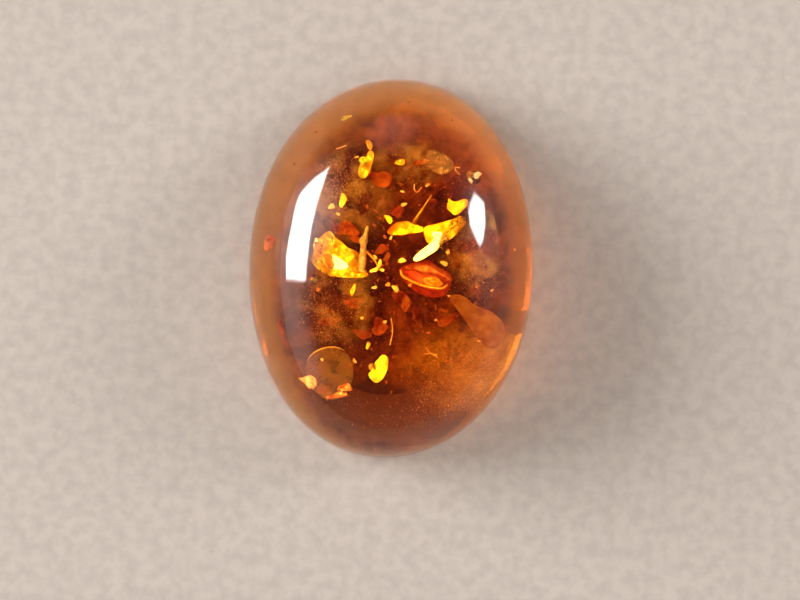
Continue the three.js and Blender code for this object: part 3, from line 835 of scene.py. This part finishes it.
def flow_layer(name, pixel, height, reach, waviness, grain, dark, light, painted_light_spot, milk):
    """An oval, wavy film round a point, mottled from dark to light; painted_light_spot is (pixel, reach) of a patch
    left paler, a painted pool of light.

    milk is the most light that its patches of tiny bubbles scatter."""
    middle = seen_in_amber(pixel, height)
    start_piece()
    bpy.ops.mesh.primitive_circle_add(vertices=72, radius=1, fill_type="NGON")
    film = bpy.context.object
    film.name = name
    bpy.ops.object.mode_set(mode="EDIT")
    bpy.ops.mesh.select_all(action="SELECT")
    for ring in range(9):
        bpy.ops.mesh.inset(thickness=0.1, depth=0)
    bpy.ops.object.mode_set(mode="OBJECT")
    film.scale = (reach[0], reach[1], 1)
    film.location = middle
    bpy.ops.object.transform_apply(location=True, rotation=True, scale=True)
    smooth(film, 1)
    crumple(film, waviness, 1.8 * MM)
    crumple(film, waviness * 0.3, 0.5 * MM)
    thicken(film, FLOW_THICKNESS)
    material = bpy.data.materials.new(name)
    material.use_nodes = True
    nodes, links = material.node_tree.nodes, material.node_tree.links
    skin = nodes["Principled BSDF"]
    skin.inputs["Roughness"].default_value = 0
    skin.inputs["IOR"].default_value = 1.0
    where = nodes.new("ShaderNodeTexCoord")
    mottle = nodes.new("ShaderNodeTexNoise")
    mottle.inputs["Scale"].default_value = 1 / grain
    mottle.inputs["Detail"].default_value = 7
    mottle.inputs["Roughness"].default_value = 0.62
    mottle.inputs["Distortion"].default_value = 0.6
    links.new(where.outputs["Object"], mottle.inputs["Vector"])
    tint = nodes.new("ShaderNodeValToRGB")
    tint.color_ramp.elements[0].position = 0.36
    tint.color_ramp.elements[0].color = dark
    tint.color_ramp.elements[1].position = 0.64
    tint.color_ramp.elements[1].color = light
    links.new(mottle.outputs["Fac"], tint.inputs["Fac"])
    share = round_spot(nodes, links, where.outputs["Object"], middle, (reach[0], reach[1], 4 * MM), 0.16)
    colour = mixed(nodes, links, share, (1, 1, 1, 1), tint.outputs["Color"])
    # Painted light: the paler, mottled patch round this spot.
    spot, size = painted_light_spot
    ragged = nodes.new("ShaderNodeVectorMath")
    ragged.operation = "MULTIPLY_ADD"
    ragged.inputs[1].default_value = (SPOT_EDGE_WAVER, SPOT_EDGE_WAVER, 0)
    links.new(mottle.outputs["Color"], ragged.inputs[0])
    links.new(where.outputs["Object"], ragged.inputs[2])
    painted_light_middle = seen_in_amber(spot, height) + Vector((SPOT_EDGE_WAVER / 2, SPOT_EDGE_WAVER / 2, 0))
    clear = round_spot(nodes, links, ragged.outputs["Vector"], painted_light_middle, (size[0], size[1], 4 * MM), 0.6)
    painted_light_tint = nodes.new("ShaderNodeValToRGB")
    painted_light_tint.color_ramp.elements[0].position = 0.38
    painted_light_tint.color_ramp.elements[0].color = PAINTED_LIGHT_MOTTLE
    painted_light_tint.color_ramp.elements[1].position = 0.56
    links.new(mottle.outputs["Fac"], painted_light_tint.inputs["Fac"])
    # Browner round a point near the lower end.
    lower_brown_middle = seen_in_amber(LOWER_BROWN_PIXEL, height) + Vector((SPOT_EDGE_WAVER / 2, SPOT_EDGE_WAVER / 2, 0))
    lower_browning = round_spot(nodes, links, ragged.outputs["Vector"], lower_brown_middle, LOWER_BROWN_REACH, 0.6)
    colour = mixed(nodes, links, lower_browning, colour, LOWER_BROWN)
    links.new(mixed(nodes, links, clear, colour, painted_light_tint.outputs["Color"]), skin.inputs["Base Color"])
    bubbly = nodes.new("ShaderNodeTexNoise")
    bubbly.inputs["Scale"].default_value = 1 / MILK_PATCH
    bubbly.inputs["Detail"].default_value = 5
    links.new(where.outputs["Object"], bubbly.inputs["Vector"])
    patches = nodes.new("ShaderNodeMapRange")
    patches.inputs["From Min"].default_value = 0.42
    patches.inputs["From Max"].default_value = 0.68
    patches.inputs["To Max"].default_value = milk
    links.new(bubbly.outputs["Fac"], patches.inputs["Value"])
    passed = nodes.new("ShaderNodeMath")
    passed.operation = "SUBTRACT"
    passed.inputs[0].default_value = 1
    for milky_pixel, milky_reach in MILKY_SPOTS:
        milky_middle = seen_in_amber(milky_pixel, height)
        milky_size = (milky_reach[0] * MM, milky_reach[1] * MM, 4 * MM)
        nearby = round_spot(nodes, links, where.outputs["Object"], milky_middle, milky_size, 0.9)
        scattered = nodes.new("ShaderNodeMath")
        scattered.operation = "MULTIPLY"
        links.new(patches.outputs["Result"], scattered.inputs[0])
        links.new(nearby, scattered.inputs[1])
        links.new(scattered.outputs["Value"], passed.inputs[1])
        left_over = passed.outputs["Value"]
        passed = nodes.new("ShaderNodeMath")
        passed.operation = "SUBTRACT"
        links.new(left_over, passed.inputs[0])
    links.new(left_over, skin.inputs["Transmission Weight"])
    nodes.remove(passed)
    finish_piece(film, material, "clear_amber")


flow_layer(
    "deep_flow", (394, 287), 1.5 * MM, (5.4 * MM, 9.0 * MM), 0.5 * MM, 1.6 * MM,
    (0.38, 0.22, 0.15, 1), (0.86, 0.64, 0.5, 1), ((468, 364), (3.3 * MM, 2.6 * MM)), 0.1,
)
flow_layer(
    "upper_flow", (390, 262), 2.35 * MM, (4.8 * MM, 6.2 * MM), 0.35 * MM, 0.7 * MM,
    (0.58, 0.4, 0.3, 1), (1.0, 0.88, 0.76, 1), ((454, 362), (3.3 * MM, 2.7 * MM)), 0.36,
)

# Dust
# Thousands of specks of decayed wood and leaf, thickest in the middle and at the upper left, and
# bright golden grains near the back at the lower right, whose colour also stands in for the light that
# the dome focuses there, a painted glow. Geometry Nodes scatters them through an oval room.
def random_vector(tree, low, high, seed):
    chance = tree.nodes.new("FunctionNodeRandomValue")
    chance.data_type = "FLOAT_VECTOR"
    chance.inputs[0].default_value = low
    chance.inputs[1].default_value = high
    chance.inputs[8].default_value = seed
    return chance.outputs[0]


def dust_cloud(name, pixel, height, spread, depth, count, grain, clump, seed):
    """Specks up to grain wide round a point; spread is the oval's half axes, clump its patches' size."""
    start_piece()
    bpy.ops.mesh.primitive_circle_add(vertices=32, radius=1, fill_type="NGON", location=seen_in_amber(pixel, height))
    cloud = bpy.context.object
    cloud.name = name
    cloud.scale = (spread[0], spread[1], 1)
    bpy.ops.object.transform_apply(location=True, rotation=True, scale=True)
    tree = bpy.data.node_groups.new(name, "GeometryNodeTree")
    tree.interface.new_socket("Geometry", in_out="INPUT", socket_type="NodeSocketGeometry")
    tree.interface.new_socket("Geometry", in_out="OUTPUT", socket_type="NodeSocketGeometry")
    nodes, links = tree.nodes, tree.links
    inlet, outlet = nodes.new("NodeGroupInput"), nodes.new("NodeGroupOutput")
    patches = nodes.new("ShaderNodeTexNoise")
    patches.inputs["Scale"].default_value = 1 / clump
    patches.inputs["Detail"].default_value = 3
    thick = nodes.new("ShaderNodeMapRange")
    thick.inputs["From Min"].default_value = 0.42
    thick.inputs["From Max"].default_value = 0.62
    thick.inputs["To Max"].default_value = 2 * count / (math.pi * spread[0] * spread[1])
    links.new(patches.outputs["Fac"], thick.inputs["Value"])
    scatter = nodes.new("GeometryNodeDistributePointsOnFaces")
    scatter.inputs["Seed"].default_value = seed
    links.new(thick.outputs["Result"], scatter.inputs["Density"])
    grid = nodes.new("GeometryNodeSubdivideMesh")
    grid.inputs["Level"].default_value = 5
    links.new(inlet.outputs[0], grid.inputs["Mesh"])
    links.new(grid.outputs["Mesh"], scatter.inputs["Mesh"])
    shift = nodes.new("GeometryNodeSetPosition")
    reach = Vector((spread[0] * 0.25, spread[1] * 0.25, depth))
    links.new(random_vector(tree, -reach, reach, seed + 1), shift.inputs["Offset"])
    links.new(scatter.outputs["Points"], shift.inputs["Geometry"])
    speck = nodes.new("GeometryNodeMeshIcoSphere")
    speck.inputs["Radius"].default_value = 1
    speck.inputs["Subdivisions"].default_value = 1
    sow = nodes.new("GeometryNodeInstanceOnPoints")
    links.new(shift.outputs["Geometry"], sow.inputs["Points"])
    links.new(speck.outputs["Mesh"], sow.inputs["Instance"])
    full_turn = (2 * math.pi, 2 * math.pi, 2 * math.pi)
    links.new(random_vector(tree, (0, 0, 0), full_turn, seed + 2), sow.inputs["Rotation"])
    small = Vector((0.15, 0.1, 0.04)) * grain
    large = Vector((0.6, 0.4, 0.15)) * grain
    links.new(random_vector(tree, small, large, seed + 3), sow.inputs["Scale"])
    lot = nodes.new("FunctionNodeRandomValue")
    lot.inputs[8].default_value = seed + 4
    mark = nodes.new("GeometryNodeStoreNamedAttribute")
    mark.domain = "INSTANCE"
    mark.inputs["Name"].default_value = "tint"
    links.new(lot.outputs[1], mark.inputs["Value"])
    links.new(sow.outputs["Instances"], mark.inputs["Geometry"])
    real = nodes.new("GeometryNodeRealizeInstances")
    links.new(mark.outputs["Geometry"], real.inputs["Geometry"])
    links.new(real.outputs["Geometry"], outlet.inputs[0])
    change = cloud.modifiers.new("dust", "NODES")
    change.node_group = tree
    bpy.ops.object.modifier_apply(modifier=change.name)
    return cloud


def speck_material(name, dark, light, metallic, roughness):
    """A material whose colour runs from dark to light from one speck to the next."""
    material = bpy.data.materials.new(name)
    material.use_nodes = True
    nodes, links = material.node_tree.nodes, material.node_tree.links
    skin = nodes["Principled BSDF"]
    skin.inputs["Metallic"].default_value = metallic
    skin.inputs["Roughness"].default_value = roughness
    lot = nodes.new("ShaderNodeAttribute")
    lot.attribute_name = "tint"
    tint = nodes.new("ShaderNodeValToRGB")
    tint.color_ramp.elements[0].color = dark
    tint.color_ramp.elements[1].color = light
    links.new(lot.outputs["Fac"], tint.inputs["Fac"])
    links.new(tint.outputs["Color"], skin.inputs["Base Color"])
    return material


brown_dust = speck_material("brown_dust", (0.25, 0.07, 0.025, 1), (0.6, 0.24, 0.08, 1), 0.0, 0.7)
tan_dust = speck_material("tan_dust", (0.45, 0.2, 0.08, 1), (0.8, 0.5, 0.27, 1), 0.0, 0.6)
# Partly painted light: bright golden specks that also stand in for the focused glow at the lower right.
golden_dust_and_glow = speck_material("golden_dust_and_glow", (0.85, 0.45, 0.12, 1), (1.0, 0.7, 0.25, 1), 0.0, 0.6)
CLOUDS = [
    ("middle_dust", (388, 300), 2.3, (3.2, 3.4), 0.6, 2200, 0.075, 0.9, brown_dust, "tan_twig"),
    ("upper_dust", (395, 175), 2.3, (3.0, 1.8), 0.6, 1300, 0.07, 0.8, brown_dust, "tan_twig"),
    ("lower_dust", (393, 410), 1.6, (3.3, 1.1), 0.5, 1300, 0.065, 1.2, brown_dust, "tan_twig"),
    ("right_dust", (475, 265), 2.4, (1.3, 2.4), 0.6, 1200, 0.065, 0.7, tan_dust, "tan_twig"),
    ("left_dust", (328, 300), 2.8, (1.2, 2.2), 0.5, 1500, 0.065, 0.6, tan_dust, "tan_twig"),
    ("upper_left_dust", (335, 195), 2.9, (1.2, 1.5), 0.5, 1700, 0.065, 0.6, tan_dust, "tan_twig"),
    ("golden_dust_and_glow", (458, 380), 1.2, (2.0, 1.7), 0.4, 3500, 0.07, 0.5, golden_dust_and_glow, "golden_flake"),
    ("rot_flocs", (385, 285), 2.1, (3.2, 4.2), 0.6, 260, 0.3, 1.0, brown_dust, "tan_twig"),
]
for i, (name, pixel, height, spread, depth, count, grain, clump, material, slot) in enumerate(CLOUDS):
    oval = (spread[0] * MM, spread[1] * MM)
    cloud = dust_cloud(name, pixel, height * MM, oval, depth * MM, count, grain * MM, clump * MM, 10 * i)
    cloud.data.materials.clear()
    cloud.data.materials.append(material)
    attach(cloud, "root")

# The floor
# Plain pale table. A hair of air stays between it and the stone's polished back, which mirrors the
# left window towards the lower right edge of the dome.
FLOOR_GAP = 0.03 * MM
start_piece()
bpy.ops.mesh.primitive_plane_add(size=6, location=(0, 0, -FLOOR_GAP))
floor = bpy.context.object
floor.name = "floor"
pale = grainy_material("pale_floor", (0.37, 0.322, 0.283, 1), (0.42, 0.366, 0.32, 1), 0.7 * MM, 0.0, (0.85, 0.95))
pale.node_tree.nodes["Principled BSDF"].inputs["Specular IOR Level"].default_value = 0.1
floor.data.materials.append(pale)

# The room
# Two windows with soft borders, low at the left and the right, in a room that is dark overhead, where
# the camera is, and pale towards the horizon. One fill lightens the table alone, and one what is
# sealed in the stone. Their corners are given as angles round the stone and above the table.
WINDOW_RADIANCE = 24
FILL_RADIANCE = 1.1
INNER_RADIANCE = 4.5
EDGE_RADIANCE = 6.0
LIGHT_DISTANCE = 0.6
SOFT_BORDER = 0.03
LEFT_WINDOW = [(153, 8), (183, 7), (185, 32), (171, 34.5), (145, 30), (133, 24.5)]
RIGHT_WINDOW = [(21, 11), (29, 20), (25, 32), (16, 35), (6, 27.5), (7, 23), (14, 16)]


def compass(azimuth, elevation):
    """The way from the stone to a thing in the room, by its angles in the turned picture."""
    return leaning(90 - elevation, azimuth + math.degrees(FILM_TURN))


def softbox(name, way, width, height, radiance):
    """A flat light at a distance along the given way, facing the stone."""
    light = bpy.data.lights.new(name, "AREA")
    light.shape = "RECTANGLE"
    light.size = width
    light.size_y = height
    light.energy = radiance * width * height * math.pi
    lamp = bpy.data.objects.new(name, light)
    bpy.context.scene.collection.objects.link(lamp)
    lamp.location = way * LIGHT_DISTANCE
    lamp.rotation_euler = (-way).to_track_quat("-Z", "Y").to_euler()
    return lamp


def window(name, outline, radiance):
    """A flat light with soft borders, whose corners are seen from the stone at the given angles."""
    ways = [compass(azimuth, elevation) for azimuth, elevation in outline]
    middle = sum(ways, Vector()).normalized()
    across = Vector((0, 0, 1)).cross(middle).normalized()
    upward = middle.cross(across)
    corners = [Vector((way.dot(across), way.dot(upward))) * LIGHT_DISTANCE / way.dot(middle) for way in ways]
    size = Vector((2 * max(abs(corner.x) for corner in corners), 2 * max(abs(corner.y) for corner in corners)))
    lamp = softbox(name, middle, size.x, size.y, radiance)
    lamp.data.use_nodes = True
    nodes, links = lamp.data.node_tree.nodes, lamp.data.node_tree.links
    where = nodes.new("ShaderNodeNewGeometry")
    brightness = None
    for first, second in zip(corners, corners[1:] + corners[:1]):
        edge = (second - first).normalized()
        inward = Vector((-edge.y, edge.x))
        slope = Vector((inward.x * size.x, inward.y * size.y, 0))
        border = first.dot(inward) + (slope.x + slope.y) / 2
        depth = nodes.new("ShaderNodeVectorMath")
        depth.operation = "DOT_PRODUCT"
        depth.inputs[1].default_value = slope
        links.new(where.outputs["Parametric"], depth.inputs[0])
        soft = nodes.new("ShaderNodeMapRange")
        soft.interpolation_type = "SMOOTHSTEP"
        soft.inputs["From Min"].default_value = border
        soft.inputs["From Max"].default_value = border + SOFT_BORDER
        links.new(depth.outputs["Value"], soft.inputs["Value"])
        share = soft.outputs["Result"]
        if brightness:
            both = nodes.new("ShaderNodeMath")
            both.operation = "MULTIPLY"
            links.new(brightness, both.inputs[0])
            links.new(share, both.inputs[1])
            share = both.outputs["Value"]
        brightness = share
    links.new(brightness, nodes["Emission"].inputs["Strength"])


window("left_window", LEFT_WINDOW, WINDOW_RADIANCE)
window("right_window", RIGHT_WINDOW, WINDOW_RADIANCE)
fill = softbox("fill", compass(290, 62), 1.0, 1.0, FILL_RADIANCE)
fill.visible_glossy = False
fill.visible_transmission = False
inner_fill = softbox("inner_fill", compass(135, 60), 0.7, 0.7, INNER_RADIANCE)
edge_fill = softbox("edge_fill", compass(235, 60), 0.5, 0.5, EDGE_RADIANCE)
for lamp in (inner_fill, edge_fill):
    lamp.visible_glossy = False
    lamp.visible_diffuse = False

world = bpy.data.worlds.new("room")
bpy.context.scene.world = world
world.use_nodes = True
nodes, links = world.node_tree.nodes, world.node_tree.links
where = nodes.new("ShaderNodeTexCoord")
height = nodes.new("ShaderNodeSeparateXYZ")
links.new(where.outputs["Generated"], height.inputs[0])
overhead = nodes.new("ShaderNodeMapRange")
overhead.interpolation_type = "SMOOTHSTEP"
overhead.inputs["From Min"].default_value = 0.1
overhead.inputs["From Max"].default_value = 0.75
overhead.inputs["To Min"].default_value = 0.3
overhead.inputs["To Max"].default_value = 0.03
links.new(height.outputs["Z"], overhead.inputs["Value"])
brightness = overhead.outputs["Result"]
GLOWS = [
    (168, 14, 34, 1.6), (156, 37, 20, 2.0), (205, 8, 24, 1.2), (8, 18, 26, 0.6), (92, 24, 20, 0.6),
]
for azimuth, elevation, spread, strength in GLOWS:
    towards = nodes.new("ShaderNodeVectorMath")
    towards.operation = "DOT_PRODUCT"
    towards.inputs[1].default_value = compass(azimuth, elevation)
    links.new(where.outputs["Generated"], towards.inputs[0])
    glow = nodes.new("ShaderNodeMapRange")
    glow.interpolation_type = "SMOOTHSTEP"
    glow.inputs["From Min"].default_value = math.cos(math.radians(spread))
    glow.inputs["From Max"].default_value = 1
    glow.inputs["To Min"].default_value = 0
    glow.inputs["To Max"].default_value = strength
    links.new(towards.outputs["Value"], glow.inputs["Value"])
    total = nodes.new("ShaderNodeMath")
    total.operation = "ADD"
    links.new(brightness, total.inputs[0])
    links.new(glow.outputs["Result"], total.inputs[1])
    brightness = total.outputs["Value"]
links.new(brightness, nodes["Background"].inputs["Strength"])
nodes["Background"].inputs["Color"].default_value = (1.0, 0.88, 0.82, 1)
bpy.context.scene.view_settings.view_transform = "Standard"
